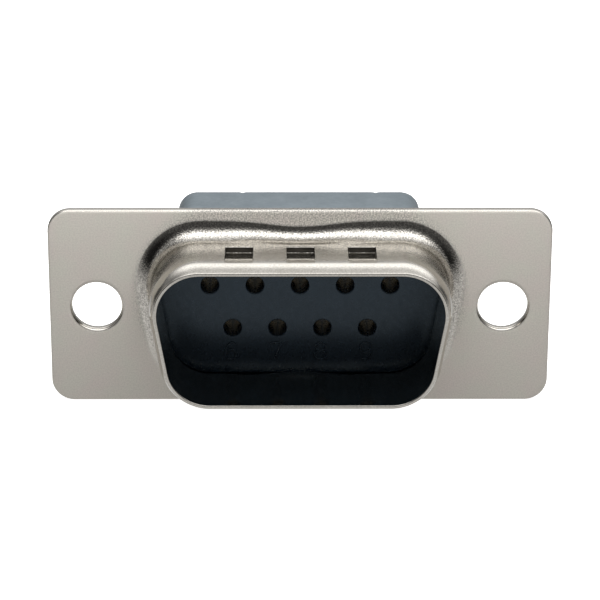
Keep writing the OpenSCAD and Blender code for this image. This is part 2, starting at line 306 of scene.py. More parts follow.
def root_rows(near, sheet, wall, surface, steps=28):
    """Rows from the flange's plane down the root arc and the lean, for the outside (sheet 0, wall 0) or the
    inside, whose arc is an ellipse that is larger by the sheet and by the wall."""
    radius, lean, end = swell(near)
    centre = WALL + lean + radius * np.sin(end)
    rows = [
        (-radius + (radius + sheet) * np.cos(end * s), centre - (radius + wall) * np.sin(end * s))
        for s in np.linspace(0, 1, steps)
    ]
    foot_y, foot_out = rows[-1]
    rows += [
        (foot_y - LEAN_LENGTH * s, surface + (foot_out - surface) * (1 - s) ** 2)
        for s in np.linspace(0, 1, 13)[1:]
    ]
    return rows, centre


WALL_FROM, FLARE, THIN_FROM = 1.7, 0.02, 4.4


def thinning(y):
    """How far the wall's outside has come in. Up to the start of the thinning it goes out by a small flare,
    in proportion to the distance. From there to the lip it comes in as the square of the distance, until
    the wall is as thin as drawing has left it."""
    flare = FLARE * (np.clip(-y, WALL_FROM, THIN_FROM) - WALL_FROM)
    t = np.clip((-y - THIN_FROM) / (MATE_DEPTH - LIP_R - THIN_FROM), 0, 1)
    return (WALL - LIP_WALL + flare) * t**2 - flare


out_rows, root_out = root_rows(mate[2], 0.0, 0.0, WALL)
in_rows, _ = root_rows(mate[2], FLANGE_T, WALL, 0.0)
print("root ring stands out", round(float(root_out.min()), 3), "to", round(float(root_out.max()), 3), "mm")

# %% [markdown]
# Each indent is a tongue sheared at its back end and pushed in, so the sheet slopes down towards the
# flange and stops at a small cliff. It is made by giving the wall two profiles: a plain one and a pushed
# one, with the same number of rows. A weight that jumps from nought to one at the indent's sides picks
# between them, and the closely spaced points there keep the sheared sides steep.
# %% Indent profiles
SHEAR_OUT, SHEAR_OVER = 0.006, 0.018


def ramp(t):
    """Depth of the tongue along its length: a smooth step from nought to the full depth."""
    return INDENT_DEPTH * t * t * (3 - 2 * t)


def wall_rows():
    """Rows of the wall from behind the indents to the lip: plain depth, pushed depth and pushed drop.
    The pushed profile rounds the sheared edge, falls down the cliff to the tongue's burr and then follows
    the ramp up."""
    deep = INDENT_DEPTH
    cliff = np.array([
        [0.14, 0.0], [0.10, 0.0], [0.06, 0.0], [0.035, 0.003], [0.018, 0.010], [0.006, 0.022], [0.0, 0.04],
        [0.0, 0.15], [0.0, 0.27], [0.0, deep - 0.04], [-0.004, deep - 0.026], [-0.012, deep - 0.022],
        [-0.03, deep - 0.008], [-0.05, deep], [-0.08, deep + 0.002], [-0.12, deep],
    ])
    t = np.linspace(0.93, 0, 30)
    slope = np.column_stack([-INDENT_L * (1 - t), ramp(t)])
    pushed = np.vstack([cliff, slope])
    plain = np.concatenate([cliff[:7, 0], np.linspace(-0.008, -0.12, 9), slope[:, 0]])
    return plain - INDENT_BACK, pushed[:, 0] - INDENT_BACK, pushed[:, 1]


plain_y, pushed_y, pushed_drop = wall_rows()
from_middle = np.abs(mate[0][:, 0][:, None] - INDENT_X[None]).min(1)
on_top = (mate[1][:, 1] > 0.999).astype(float)
weight = on_top * np.clip((INDENT_W / 2 + SHEAR_OUT - from_middle) / SHEAR_OVER, 0, 1)
print("points inside indents:", int((weight > 0.5).sum()), "rows in the wall:", len(plain_y))

# %% [markdown]
# The drawn sheet is one section with its rows in order: the root, the wall and the lip on the outside, and
# then the same way back on the inside. A Solidify modifier could give the sheet its thickness, but it
# keeps one thickness, and drawing has thinned this sheet at the lip.
# %% From flange to flange


def wall_section(surface, share):
    """Rows (depth, distance out) of the wall: the plain profile, or the pushed one where the weight is one.
    The tongue is pushed in from the wall's full thickness, so it shows where it is deeper than the share
    of the thinning that this side of the wall has."""
    rows = []
    for y0, y1, drop in zip(plain_y, pushed_y, pushed_drop):
        y = y0 * (1 - weight) + y1 * weight
        plain_drop = share * thinning(y)
        rows.append((y, surface - plain_drop - np.maximum(drop - plain_drop, 0) * weight))
    return rows


def lip_rows():
    """Rows over the lip from the outer wall to the inner one: a round edge, a flat end and a round edge."""
    y = -MATE_DEPTH + LIP_R
    return quarter(y, LIP_WALL - LIP_R, LIP_R, 0, -90, 9) + quarter(y, LIP_R, LIP_R, -90, -180, 9)


front_y = np.linspace(-4.5, -MATE_DEPTH + LIP_R + 0.06, 9)
outside = out_rows + wall_section(WALL, 1) + [(y, WALL - thinning(y)) for y in front_y]
inside = in_rows + wall_section(0.0, 0) + [(y, 0.0) for y in front_y]
strip_out = root_out + EDGE_STRIP
drawn_section = [(0.0, strip_out)] + outside + lip_rows() + inside[::-1] + [(FLANGE_T, strip_out)]
print("rows from flange to flange over the lip:", len(drawn_section))

# %% [markdown]
# The flange has a rolled front edge from the blanking punch and a sharp back one. Each screw hole has a
# rounded entry, a straight throat and a flare that stakes the rear shell. Cutting the holes out of a plate
# would leave facets where the reflection is brightest, so one turned section gives the whole collar and
# the flat flange is filled in between.
# %% Front shell
EDGE_ROLL, EDGE_BURR, STAKE_ROUND = 0.16, 0.04, 0.08


def edge_section(front, back, roll, burr, inset=0.0):
    """Rows round a plate's edge from its front face to its back face: strip, roll, side, small burr."""
    return (
        [(front, -inset - roll - EDGE_STRIP)]
        + quarter(front + roll, -inset - roll, roll, -90, 0, 8)
        + quarter(back - burr, -inset - burr, burr, 0, 90, 4)
        + [(back, -inset - burr - EDGE_STRIP)]
    )


def collar_section():
    """Rows of a screw hole from the flange's front round through the throat and over the staked lip."""
    entry = HOLE_R + HOLE_ENTRY_R
    flare_y = HOLE_ENTRY_R + THROAT
    rows = [(0.0, entry + EDGE_STRIP)]
    rows += quarter(HOLE_ENTRY_R, entry, HOLE_ENTRY_R, -90, -180, 9)
    rows += quarter(flare_y, HOLE_R + FLARE_R, FLARE_R, 180, 180 - 0.97 * 90, 13)
    rows += [(STAKE_END, HOLE_R + FLARE_R), (STAKE_END, STAKE_R - STAKE_ROUND)]
    rows += quarter(STAKE_END - STAKE_ROUND, STAKE_R - STAKE_ROUND, STAKE_ROUND, 90, 0, 4)[1:]
    rows += [(REAR_PLANE, STAKE_R), (REAR_PLANE, COLLAR_R)]
    return rows + [(FLANGE_T, COLLAR_R), (FLANGE_T, COLLAR_R + EDGE_STRIP)]


def front_shell_parts():
    d_rings = rings_of(mate[0], mate[1], drawn_section)
    edge = rings_of(flange[0], flange[1], edge_section(0.0, FLANGE_T, EDGE_ROLL, EDGE_BURR))
    collars = [tube((x, 0), collar_section()) for x in (-HOLE_X, HOLE_X)]
    parts = [ring_surface(d_rings), ring_surface(edge[::-1])]
    parts += [ring_surface(c) for c in collars]
    front = [edge[0][:, ::2], d_rings[0][:, ::2]] + [c[0][:, ::2] for c in collars]
    back = [edge[-1][:, ::2], d_rings[-1][:, ::2]] + [c[-1][:, ::2] for c in collars]
    return parts + [flat_fill(0.0, front, -1), flat_fill(FLANGE_T, back, 1)]


print("front shell parts:", len(front_shell_parts()))

# %% [markdown]
# A finish is a graph of nodes. The few kinds of node used here are made by these helpers, which take either
# plain numbers or another node's output, so that each finish below reads as a formula. The same graph could
# be drawn by hand in the shader editor, but then its numbers would be spread over many boxes.
# %% Node helpers


def new_material(name):
    material = bpy.data.materials.new(name)
    material.use_nodes = True
    nodes, links = material.node_tree.nodes, material.node_tree.links
    return material, nodes, links, nodes["Principled BSDF"]


def feed(links, socket, value):
    """Gives a socket its value: another node's output by a link, or else a number, a vector or a colour."""
    if isinstance(value, bpy.types.NodeSocket):
        links.new(value, socket)
    else:
        socket.default_value = (*value, 1) if socket.type == "RGBA" else value


def reckoned(nodes, links, operation, *values):
    """The result of one sum, such as a product or an absolute value."""
    made = nodes.new("ShaderNodeMath")
    made.operation = operation
    for socket, value in zip(made.inputs, values):
        feed(links, socket, value)
    return made.outputs["Value"]


def ranged(nodes, links, value, stops, ends=(0.0, 1.0), smooth=False):
    """A number that runs over the ends as a value runs over the stops, and stays at an end beyond them."""
    made = nodes.new("ShaderNodeMapRange")
    if smooth:
        made.interpolation_type = "SMOOTHSTEP"
    for name, given in zip(("From Min", "From Max", "To Min", "To Max"), (*stops, *ends)):
        feed(links, made.inputs[name], given)
    links.new(value, made.inputs["Value"])
    return made.outputs["Result"]


def mixed(nodes, links, share, first, last):
    """A number that runs from first to last as the share runs from nought to one."""
    return ranged(nodes, links, share, (0.0, 1.0), (first, last))


def tint(nodes, links, share, first, last, blend="MIX"):
    """A colour that runs from first to last as the share runs from nought to one."""
    made = nodes.new("ShaderNodeMix")
    made.data_type = "RGBA"
    made.blend_type = blend
    feed(links, made.inputs["Factor"], share)
    feed(links, made.inputs["A"], first)
    feed(links, made.inputs["B"], last)
    return made.outputs["Result"]


print("node helpers:", [helper.__name__ for helper in (feed, reckoned, ranged, mixed, tint)])

# %% [markdown]
# Plating and moulded plastic are never quite even. Noise over the object's own coordinates gives that
# unevenness to the colour, to the roughness and, as a bump, to the way light falls. An image could hold
# it too, but noise has no seams and stays sharp from near.
# %% Noise and bumps


def noise(nodes, links, scale, detail=2.0):
    """Noise over Object coordinates. scale counts its cells in a metre."""
    made = nodes.new("ShaderNodeTexNoise")
    made.inputs["Scale"].default_value = scale
    made.inputs["Detail"].default_value = detail
    links.new(nodes.new("ShaderNodeTexCoord").outputs["Object"], made.inputs["Vector"])
    return made.outputs["Fac"]


def spread(nodes, links, value, low=0.0, high=1.0):
    """Noise's middle part, 0.3 to 0.7, spread over low to high."""
    return ranged(nodes, links, value, (0.3, 0.7), (low, high))


def bumped(nodes, links, shader, layers):
    """Bumps from layers of (value, height in mm), one on the other."""
    last = None
    for value, height in layers:
        made = nodes.new("ShaderNodeBump")
        made.inputs["Distance"].default_value = height * MM
        made.inputs["Strength"].default_value = 1.0
        links.new(value, made.inputs["Height"])
        if last:
            links.new(last, made.inputs["Normal"])
        last = made.outputs["Normal"]
    links.new(last, shader.inputs["Normal"])


print("texture helpers:", [helper.__name__ for helper in (noise, spread, bumped)])

# %% [markdown]
# The shell is tin-plated steel sheet, and the press leaves it in two finishes. The flat flange keeps the
# matte of the plating, so it is mostly diffuse. The drawn wall, the rolled edge and the screw holes' collars
# are burnished, so they mirror the room. Two materials with a border between them would show a hard line,
# so one material runs from one finish to the other by the distance from the flange's front plane.
#
# Drawing also strains the sheet at the D and just round it, and there the plate is flecked and grainy.
# The same share also darkens the plate on the whole there, and that darkening is painted shade round the
# D's root. At the lip the die has ironed it smooth again. How far the sheet is strained is a second share,
# from nought to one, by the distance from a rounded box round the D's middle.
# %% Where the sheet is worked, with painted shade round the D
STRAIN_UP, STRAIN_X, STRAIN_Z = 0.9, 4.7, 0.3
STRAIN_OVER, IRONED_OVER, IRONED_SHARE = (5.9, 4.9), (3.0, 4.4), 0.2


def off_plane(nodes, links, start, end):
    """A share that runs from nought to one as the distance from the flange's front plane, either way, runs
    from start to end, in metres."""
    split = nodes.new("ShaderNodeSeparateXYZ")
    links.new(nodes.new("ShaderNodeTexCoord").outputs["Object"], split.inputs["Vector"])
    return ranged(nodes, links, reckoned(nodes, links, "ABSOLUTE", split.outputs["Y"]), (start, end))


def strain_and_shade_share(nodes, links):
    """How far drawing has strained the sheet, which is also the share of painted shade round the D: one at
    the D, and nought a millimetre away from it on the flange. The distance from the box is the length of
    what is left when the box's half sizes are taken from the absolute place, and nothing goes below nought.
    Y isn't counted, except that towards the lip the share falls again."""
    last = nodes.new("ShaderNodeTexCoord").outputs["Object"]
    for operation, value in [
        ("SUBTRACT", (0, 0, STRAIN_UP * MM)), ("ABSOLUTE", None), ("MULTIPLY", (1, 0, 1)),
        ("SUBTRACT", (STRAIN_X * MM, 0, STRAIN_Z * MM)), ("MAXIMUM", (0, 0, 0)), ("LENGTH", None),
    ]:
        step = nodes.new("ShaderNodeVectorMath")
        step.operation = operation
        links.new(last, step.inputs[0])
        if value:
            step.inputs[1].default_value = value
        last = step.outputs["Value" if operation == "LENGTH" else "Vector"]
    far, near = (stop * MM for stop in STRAIN_OVER)
    lip = off_plane(nodes, links, *(stop * MM for stop in IRONED_OVER))
    ironed = mixed(nodes, links, lip, 1.0, IRONED_SHARE)
    return ranged(nodes, links, last, (far, near), (0.0, ironed), smooth=True)


print("strained from", STRAIN_OVER[1], "to", STRAIN_OVER[0], "mm off the box, ironed over", IRONED_OVER, "mm")

# %% [markdown]
# The flecks are one fine noise used twice: it darkens the plate and raises a grain on it, both by the
# strain share. Near the D the flecks also run darker on the whole, and that part is painted shade round the
# D's root. A broad, faint noise under them clouds the colour, as plating does. The insulators are
# glass-filled nylon, dark and bluish with a low sheen, though the rear one's slate grey is a painted sheen:
# black nylon lightened to stand for the sky mirrored on its top. The clips are rolled brass strip. An image
# of real metal could be wrapped round the shell instead, but its grain would stretch over the drawn corners.
# %% Finishes
FLECK, FLECK_GRAIN, PLATE_GRAIN = 10500, 0.011, 0.003
NYLON_IOR, NYLON_SHEEN = 1.62, (0.72, 0.88, 1.0)


def metal_strip(name, dark, light, rough, grain):
    """Metal of one finish. Its clouds change the colour and the roughness a little."""
    material, nodes, links, shader = new_material(name)
    shader.inputs["Metallic"].default_value = 1.0
    clouds = spread(nodes, links, noise(nodes, links, 500, 3))
    links.new(tint(nodes, links, clouds, dark, light), shader.inputs["Base Color"])
    links.new(spread(nodes, links, noise(nodes, links, 2500), *rough), shader.inputs["Roughness"])
    coarse, fine = noise(nodes, links, 2600), noise(nodes, links, 9000, 1)
    bumped(nodes, links, shader, [(coarse, grain * 1.3), (fine, grain)])
    return material


def drawn_plate():
    """Tin plate that is matte and light on the flat flange, and burnished by the punch off its plane. The
    burnish is full at 0.06 mm off the plane, or nearer where the sheet is strained."""
    material, nodes, links, shader = new_material("tin_plate")
    strained = strain_and_shade_share(nodes, links)
    full = mixed(nodes, links, strained, 0.06 * MM, 0.04 * MM)
    burnish = off_plane(nodes, links, 0.001 * MM, full)
    clouds = spread(nodes, links, noise(nodes, links, 500, 3))
    flat = tint(nodes, links, clouds, (0.775, 0.712, 0.660), (0.757, 0.738, 0.660))
    drawn = tint(nodes, links, clouds, (0.61, 0.585, 0.54), (0.67, 0.645, 0.60))
    plate = tint(nodes, links, burnish, flat, drawn)
    speck = noise(nodes, links, FLECK, 1)
    # Painted shade: near the D the flecks run darker, so the plate's mean colour there is darker too.
    darkest_with_shade = mixed(nodes, links, strained, 0.92, 0.52)
    lightest = mixed(nodes, links, strained, 1.04, 1.13)
    fleck_and_shade = spread(nodes, links, speck, darkest_with_shade, lightest)
    links.new(tint(nodes, links, 1.0, plate, fleck_and_shade, "MULTIPLY"), shader.inputs["Base Color"])
    links.new(mixed(nodes, links, burnish, 0.25, 1.0), shader.inputs["Metallic"])
    links.new(mixed(nodes, links, burnish, 0.58, 0.13), shader.inputs["Roughness"])
    grain = reckoned(nodes, links, "MULTIPLY", speck, strained)
    bumped(nodes, links, shader, [(noise(nodes, links, 3200), PLATE_GRAIN), (grain, FLECK_GRAIN)])
    return material


def moulded_plastic(name, dark, light, rough, skin):
    """Nylon as it leaves the mould. skin is the height of its unevenness in mm, if it has any."""
    material, nodes, links, shader = new_material(name)
    shader.inputs["IOR"].default_value = NYLON_IOR
    shader.inputs["Specular Tint"].default_value = (*NYLON_SHEEN, 1)
    clouds = spread(nodes, links, noise(nodes, links, 700, 3))
    links.new(tint(nodes, links, clouds, dark, light), shader.inputs["Base Color"])
    links.new(spread(nodes, links, noise(nodes, links, 3000), *rough), shader.inputs["Roughness"])
    if skin:
        bumped(nodes, links, shader, [(noise(nodes, links, 7000), skin)])
    return material


tin_plate = drawn_plate()
# Sheared ends: bare steel, made very dark as painted shade for the gap and shadow under each indent's cliff.
sheared_steel_and_shade = metal_strip("sheared_steel_and_shade", (0.09, 0.085, 0.075), (0.15, 0.14, 0.125), (0.45, 0.55), 0.003)
rear_plate = metal_strip("rear_tin_plate", (0.56, 0.54, 0.50), (0.63, 0.61, 0.57), (0.24, 0.34), 0.003)
clip_strip = metal_strip("clip_strip", (0.56, 0.43, 0.23), (0.66, 0.51, 0.28), (0.3, 0.45), 0.001)
black_nylon = moulded_plastic("black_nylon", (0.009, 0.019, 0.034), (0.014, 0.028, 0.049), (0.25, 0.33), 0)
# Black nylon whose slate grey colour is a painted sheen for the sky mirrored on the block's top.
black_nylon_painted_sheen = moulded_plastic(
    "black_nylon_painted_sheen", (0.101, 0.123, 0.138), (0.127, 0.152, 0.169), (0.38, 0.48), 0.0015
)
print("materials:", [m.name for m in bpy.data.materials])

# %% [markdown]
# The indents' sheared ends are bare steel, darker than the plate round them, and their colour is made
# darker still as painted shade for the gap and shadow under each cliff. A face is one of them if it is at
# an indent, in the top wall, and looks neither up nor down. They could be a piece of their own, but as a
# second material on the same mesh they leave no seam.
# %% Make the front shell
front_shell = make_piece("front_shell_skin", front_shell_parts(), tin_plate, "front_shell")
front_shell.data.materials.append(sheared_steel_and_shade)
faces = front_shell.data.polygons
middle, normal = np.zeros(len(faces) * 3), np.zeros(len(faces) * 3)
faces.foreach_get("center", middle)
faces.foreach_get("normal", normal)
middle, normal = middle.reshape(-1, 3) / MM, normal.reshape(-1, 3)
from_indent = np.abs(middle[:, :1] - INDENT_X).min(1)
# These faces take the dark steel, whose darkness is partly painted shade.
sheared = (from_indent < INDENT_W / 2 + 0.02) & (np.abs(normal[:, 2]) < 0.6)
sheared &= middle[:, 2] > MATE_H / 2 - 0.5
sheared &= (middle[:, 1] > -INDENT_BACK - INDENT_L) & (middle[:, 1] < -INDENT_BACK + 0.03)
faces.foreach_set("material_index", sheared.astype(np.int32))
print("sheared faces:", int(sheared.sum()))

# %% [markdown]
# The rear shell is the same sheet work the other way round: a flange a little smaller than the front one,
# and a shallow pan drawn backwards that holds both insulators' flanges. The body stands out of its floor.
# It could be one loft with the front shell, but a housing of this kind has two shells staked together, and
# the seam between their flanges shows from the side.
# %% Rear shell
PAN_ROOT, MOUTH_GAP, MOUTH_BREAK, HOLE_GAP = 0.25, 0.06, 0.05, 0.03


def rear_shell_parts():
    edge = rings_of(flange[0], flange[1], edge_section(FLANGE_T, REAR_PLANE, 0.05, 0.12, REAR_INSET))
    pan = [(REAR_PLANE, PAN_OUT + PAN_ROOT + EDGE_STRIP)]
    pan += quarter(REAR_PLANE + PAN_ROOT, PAN_OUT + PAN_ROOT, PAN_ROOT, -90, -180, 8)
    pan += quarter(PAN_END - PAN_R, PAN_OUT - PAN_R, PAN_R, 0, 90, 10)
    pan += [(PAN_END, PAN_OUT - PAN_R - EDGE_STRIP)]
    pocket = [(LAND_END, PAN_IN - EDGE_STRIP), (LAND_END, PAN_IN)]
    pocket += [(FLANGE_T, PAN_IN), (FLANGE_T, PAN_IN + EDGE_STRIP)]
    wide = MOUTH_GAP + MOUTH_BREAK
    mouth = [(PAN_END, wide + MOUTH_BREAK), (PAN_END, wide), (PAN_END - MOUTH_BREAK, MOUTH_GAP)]
    mouth += [(LAND_END, MOUTH_GAP), (LAND_END, MOUTH_GAP + EDGE_STRIP)]
    r = COLLAR_R + HOLE_GAP
    hole = [(FLANGE_T, r + EDGE_STRIP), (FLANGE_T, r), (REAR_PLANE, r), (REAR_PLANE, r + EDGE_STRIP)]
    pan_rings, pocket_rings = rings_of(mate[0], mate[1], pan), rings_of(mate[0], mate[1], pocket)
    mouth_rings = rings_of(body[0], body[1], mouth)
    holes = [tube((x, 0), hole) for x in (-HOLE_X, HOLE_X)]
    parts = [ring_surface(edge[::-1]), ring_surface(pan_rings[::-1]), ring_surface(pocket_rings[::-1])]
    parts += [ring_surface(mouth_rings[::-1])] + [ring_surface(h) for h in holes]
    fills = [
        (FLANGE_T, [edge[0], pocket_rings[-1]] + [h[0] for h in holes], -1),
        (REAR_PLANE, [edge[-1], pan_rings[0]] + [h[-1] for h in holes], 1),
        (PAN_END, [pan_rings[-1], mouth_rings[0]], 1),
        (LAND_END, [pocket_rings[0], mouth_rings[-1]], -1),
    ]
    return parts + [flat_fill(y, [loop[:, ::2] for loop in loops], facing) for y, loops, facing in fills]


make_piece("rear_shell_skin", rear_shell_parts(), rear_plate, "rear_shell")

# %% [markdown]
# The front insulator closes the bottom of the D. Its nose stands a little into the shell's rolled root,
# which leaves a dark line round it. Every pin bore has a small lead-in and runs on through a spigot behind.
# A boolean could cut the bores from a block, but it leaves long thin faces that shade badly, so each bore
# is turned as rings and the flat face is filled round them.
# %% Front insulator
NOSE_R, LAND_R = 0.06, 0.08


def lead_in_rows(r, lead):
    """Rows of a bore's mouth, from a face at depth nought into the bore: a flat strip and a round lead-in."""
    return [(0.0, r + lead + BORE_STRIP)] + quarter(lead, r + lead, lead, -90, -180, 5)


def front_insulator_parts():
    nose = [(0.0, NOSE_OUT - NOSE_R - 0.05)]
    nose += quarter(NOSE_R, NOSE_OUT - NOSE_R, NOSE_R, -90, 0, 6)
    nose += [(LAND_SEAT, NOSE_OUT), (LAND_SEAT, LAND_OUT - LAND_R)]
    nose += quarter(LAND_SEAT + LAND_R, LAND_OUT - LAND_R, LAND_R, -90, 0, 4)[1:]
    nose += [(FRONT_T, LAND_OUT), (FRONT_T, LAND_OUT - EDGE_STRIP)]
    rings = rings_of(mate[0], mate[1], nose)
    bore = lead_in_rows(PIN_BORE_R, LEAD_IN)
    bore += [(SPIGOT_END, PIN_BORE_R), (SPIGOT_END, PIN_BORE_R + BORE_STRIP), (SPIGOT_END, SPIGOT_R)]
    bore += [(FRONT_T, SPIGOT_R), (FRONT_T, SPIGOT_R + BORE_STRIP)]
    bores = [tube(c, bore, 64) for c in CONTACTS]
    parts = [ring_surface(rings[::-1])] + [ring_surface(b) for b in bores]
    front = [rings[0][:, ::2]] + [b[0][:, ::2] for b in bores]
    back = [rings[-1][:, ::2]] + [b[-1][:, ::2] for b in bores]
    return parts + [flat_fill(0.0, front, -1), flat_fill(FRONT_T, back, 1)]


make_piece("front_insulator_skin", front_insulator_parts(), black_nylon, "front_insulator")

# %% [markdown]
# The rear insulator is a plain slanted block that wires leave from. Its back edges are rounded, its top
# back edge has two small marks where it left the mould, and each wire bore has a lead-in and a step. The
# marks could be bumps in the material, but they break the back edge's outline, so they are in the mesh: at
# each one the top edge drops by a bell curve of the distance from it.
# %% Rear insulator
BACK_EDGE_R, WIRE_LEAD_IN = 0.22, 0.14
MARKS_X, MARK_W, MARK_DEPTH = np.array([-3.6, 4.9]), 0.11, 0.06
MARK_FROM, MARK_FADE = 0.5, 0.35


def rear_insulator_parts():
    land = [(FRONT_T, LAND_OUT - EDGE_STRIP), (FRONT_T, LAND_OUT)]
    land += [(LAND_END, LAND_OUT), (LAND_END, LAND_OUT - EDGE_STRIP)]
    sides = [(LAND_END, EDGE_STRIP), (LAND_END, 0.0)]
    sides += [(y, 0.0) for y in np.linspace(3.0, BODY_REACH - 0.6, 6)]
    sides += quarter(BODY_REACH - BACK_EDGE_R, -BACK_EDGE_R, BACK_EDGE_R, 0, 90, 8)
    sides += [(BODY_REACH, -BACK_EDGE_R - EDGE_STRIP)]
    land_rings, side_rings = rings_of(mate[0], mate[1], land), rings_of(body[0], body[1], sides)
    mark = np.exp(-(((side_rings[..., 0][..., None] - MARKS_X) / MARK_W) ** 2)).sum(-1)
    at_edge = np.clip((side_rings[..., 1] - BODY_REACH + MARK_FROM) / MARK_FADE, 0, 1)
    side_rings[..., 2] -= MARK_DEPTH * mark * at_edge * (body[1][:, 1] > 0.99)
    bore = [(BODY_REACH - y, r) for y, r in lead_in_rows(WIRE_BORE_R, WIRE_LEAD_IN)]
    bore += [(CLIP_END, WIRE_BORE_R), (CLIP_END, CLIP_BORE_R)]
    bore += [(FRONT_T, CLIP_BORE_R), (FRONT_T, CLIP_BORE_R + BORE_STRIP)]
    bores = [tube(c, bore, 64) for c in CONTACTS]
    parts = [ring_surface(land_rings[::-1]), ring_surface(side_rings[::-1])]
    parts += [ring_surface(b[::-1]) for b in bores]
    fills = [
        (FRONT_T, [land_rings[0]] + [b[-1] for b in bores], -1),
        (LAND_END, [land_rings[-1], side_rings[0]], 1),
        (BODY_REACH, [side_rings[-1]] + [b[0] for b in bores], 1),
    ]
    return parts + [flat_fill(y, [loop[:, ::2] for loop in loops], facing) for y, loops, facing in fills]


# The block's slate grey colour is painted sheen over black nylon.
make_piece("rear_insulator_skin", rear_insulator_parts(), black_nylon_painted_sheen, "rear_insulator")

# %% [markdown]
# Each contact has a small number beside it, moulded as a thin raised line. A digit is one or two strokes
# through a few points, smoothed where it is round. A font's letters are too heavy and flat for this, so
# the strokes are drawn here, in shares of the digit's width and height.
# %% Digits
DIGIT_H, DIGIT_W, STROKE_W, STROKE_H = 1.12, 0.72, 0.15, 0.08
STROKES = {
    1: [([(-0.2, 0.28), (0.1, 0.5), (0.1, -0.5)], 0)],
    2: [([(-0.45, 0.22), (-0.36, 0.42), (0.0, 0.5), (0.38, 0.4), (0.44, 0.18), (0.2, -0.08),
          (-0.45, -0.5)], 1),
        ([(-0.45, -0.5), (0.48, -0.5)], 0)],
    3: [([(-0.42, 0.32), (-0.3, 0.45), (0.0, 0.5), (0.36, 0.42), (0.42, 0.22), (0.3, 0.06), (0.0, 0.02)], 1),
        ([(0.0, 0.02), (0.34, -0.06), (0.46, -0.24), (0.36, -0.43), (0.0, -0.5), (-0.32, -0.45),
          (-0.45, -0.3)], 1)],
    4: [([(0.2, -0.5), (0.2, 0.5), (-0.48, -0.18), (0.5, -0.18)], 0)],
    5: [([(0.42, 0.5), (-0.34, 0.5), (-0.4, 0.06)], 0),
        ([(-0.4, 0.06), (-0.1, 0.16), (0.28, 0.1), (0.45, -0.16), (0.34, -0.41), (0.0, -0.5),
          (-0.45, -0.36)], 1)],
    6: [([(0.36, 0.44), (0.0, 0.5), (-0.34, 0.28), (-0.45, -0.1), (-0.36, -0.42), (0.0, -0.5), (0.36, -0.4),
          (0.44, -0.16), (0.3, 0.04), (0.0, 0.09), (-0.32, -0.02), (-0.42, -0.18)], 1)],
    7: [([(-0.46, 0.5), (0.46, 0.5), (-0.08, -0.5)], 0)],
    8: [([(0.0, 0.03), (-0.34, 0.12), (-0.38, 0.34), (0.0, 0.5), (0.38, 0.34), (0.34, 0.12), (0.0, 0.03),
          (-0.4, -0.1), (-0.45, -0.34), (0.0, -0.5), (0.45, -0.34), (0.4, -0.1), (0.0, 0.03)], 1)],
    9: [([(0.42, 0.18), (0.32, 0.02), (0.0, -0.09), (-0.3, -0.04), (-0.44, 0.16), (-0.36, 0.4), (0.0, 0.5),
          (0.36, 0.42), (0.45, 0.1), (0.34, -0.28), (0.0, -0.5), (-0.36, -0.44)], 1)],
}
print("digits:", len(STROKES), "in strokes:", sum(len(strokes) for strokes in STROKES.values()))

# %% [markdown]
# A curve object with a bevel could raise each stroke, but it would stand half in the air. Here a low
# half-round profile is carried along the stroke instead, with its ends drawn down to nothing, so that each
# line grows out of the face.
# %% Contact numbers
NUMBER_ASIDE, NUMBER_ABOVE, NUMBER_BELOW = 0.1, 1.5, 1.55


def stroke_line(points, smooth, step=0.03):
    """Points along a stroke, evenly spaced in mm. A smooth stroke is the Catmull-Rom curve through its
    points: cubics whose slope at each point is half the step between its neighbours."""
    p = np.array(points) * (DIGIT_W, DIGIT_H)
    if smooth:
        around = np.vstack([2 * p[0] - p[1], p, 2 * p[-1] - p[-2]])
        t = np.linspace(0, 1, 24, endpoint=False)[:, None, None]
        a, b, c, d = (around[k: len(around) - 3 + k] for k in range(4))
        square, cube = 2 * a - 5 * b + 4 * c - d, 3 * b - a - 3 * c + d
        curve = 0.5 * (2 * b + (c - a) * t + square * t**2 + cube * t**3)
        p = np.vstack([curve.transpose(1, 0, 2).reshape(-1, 2), p[-1:]])
    length = np.concatenate([[0], np.cumsum(np.linalg.norm(np.diff(p, axis=0), axis=1))])
    even = np.linspace(0, length[-1], max(4, int(length[-1] / step)))
    return np.column_stack([np.interp(even, length, p[:, k]) for k in range(2)])


def raised_line(line, centre):
    """A low half-round ridge on the insulator's face. Across the line at angle a it stands at width times
    the cosine and height times the sine, and both shrink to nought over the last points at each end."""
    along = np.gradient(line, axis=0)
    along /= np.linalg.norm(along, axis=1)[:, None]
    across = np.column_stack([-along[:, 1], along[:, 0]])
    count = np.arange(len(line))
    to_end = np.minimum(count, count[::-1]) / 3
    size = np.sqrt(1 - (1 - np.clip(to_end, 0.02, 1)) ** 2)
    a = np.linspace(0, np.pi, 9)
    flat = line[:, None] + across[:, None] * (np.cos(a)[None, :, None] * size[:, None, None]) * STROKE_W / 2
    y = 0.01 - (STROKE_H + 0.01) * np.sin(a)[None] * size[:, None]
    points = np.stack([flat[..., 0] + centre[0], y, flat[..., 1] + centre[1]], -1)
    k, n = points.shape[:2]
    index = np.arange(k * n).reshape(k, n)
    quads = np.stack([index[:-1, :-1], index[:-1, 1:], index[1:, 1:], index[1:, :-1]], -1).reshape(-1, 4)
    foot = np.stack([index[:-1, -1], index[:-1, 0], index[1:, 0], index[1:, -1]], -1)
    ends = [(points[0], [np.arange(n)[::-1]]), (points[-1], [np.arange(n)])]
    return [(points.reshape(-1, 3), np.vstack([quads, foot]))] + ends


def number_parts():
    parts = []
    for digit, strokes in STROKES.items():
        x, z = CONTACTS[digit - 1]
        centre = (x - NUMBER_ASIDE, z + (NUMBER_ABOVE if z > 0 else -NUMBER_BELOW))
        for points, smooth in strokes:
            parts += raised_line(stroke_line(points, smooth), centre)
    return parts


make_piece("contact_numbers", number_parts(), black_nylon, None, 60)

